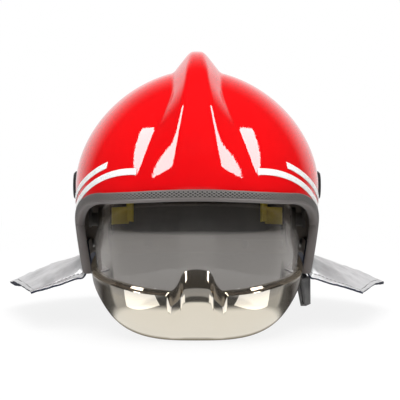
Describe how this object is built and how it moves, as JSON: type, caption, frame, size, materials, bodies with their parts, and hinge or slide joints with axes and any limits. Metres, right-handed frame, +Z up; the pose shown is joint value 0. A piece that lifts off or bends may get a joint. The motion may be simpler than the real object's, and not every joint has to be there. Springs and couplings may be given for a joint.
{
  "type": "fire helmet",
  "caption": "Red crested fire helmet with a retracting stepped visor, edge trims, reflective stripes, head harness and silver neck cape.",
  "frame": {"origin": "on the mid-plane of the helmet, level with the side caps, at the middle of the wearer's head", "axes": "+Z up, the face looks along -Y, +X towards the wearer's left"},
  "size_m": [0.417, 0.3703, 0.2851],
  "materials": {
    "shell_red": "polished clear-coated",
    "trim_rubber": "satin, ribbed on the brow",
    "tape_white": "reflective sheeting",
    "cap_black": "satin",
    "bracket_dark": "satin",
    "visor_gold": "gold-tinted hard coat",
    "liner_foam": "moulded foam",
    "pad_cloth": "brushed lining",
    "webbing": "woven webbing",
    "harness_black": "satin",
    "clip_yellow": "satin",
    "buckle_grey": "satin",
    "cape_silver": "aluminised face, navy lining",
    "stud_steel": "nickel plated"
  },
  "bodies": {
    "helmet": {"shell": "shell_red", "brow_trim": "trim_rubber", "neck_trim": "trim_rubber", "tape_left": "tape_white", "tape_right": "tape_white", "side_cap_left": "cap_black", "side_cap_right": "cap_black", "pivot_bracket_left": "bracket_dark", "pivot_bracket_right": "bracket_dark", "impact_liner": "liner_foam", "crown_pad": "pad_cloth", "crown_webbing": "webbing", "headband": "harness_black", "brow_pad": "pad_cloth", "nape_pad": "pad_cloth", "front_hanger_left": "clip_yellow", "front_hanger_right": "clip_yellow", "rear_hanger_left": "clip_yellow", "rear_hanger_right": "clip_yellow", "ratchet_housing": "harness_black", "strap_anchor_left": "harness_black", "strap_anchor_right": "harness_black", "chin_strap_left": "webbing", "chin_strap_right": "webbing", "buckle_plug": "buckle_grey", "buckle_socket": "buckle_grey", "neck_cape": "cape_silver", "cape_studs": "stud_steel"},
    "visor": {"visor": "visor_gold"},
    "size_knob": {"ratchet_knob": "harness_black"}
  },
  "joints": [
    {"name": "visor_lift", "type": "hinge", "parent": "helmet", "child": "visor", "pos_m": [0, 0, -0.038], "axis": [-1, 0, 0], "range_deg": [0, 60]},
    {"name": "knob_turn", "type": "hinge", "parent": "helmet", "child": "size_knob", "pos_m": [0, 0.111, -0.029], "axis": [0, 1, 0], "continuous": true}
  ]
}
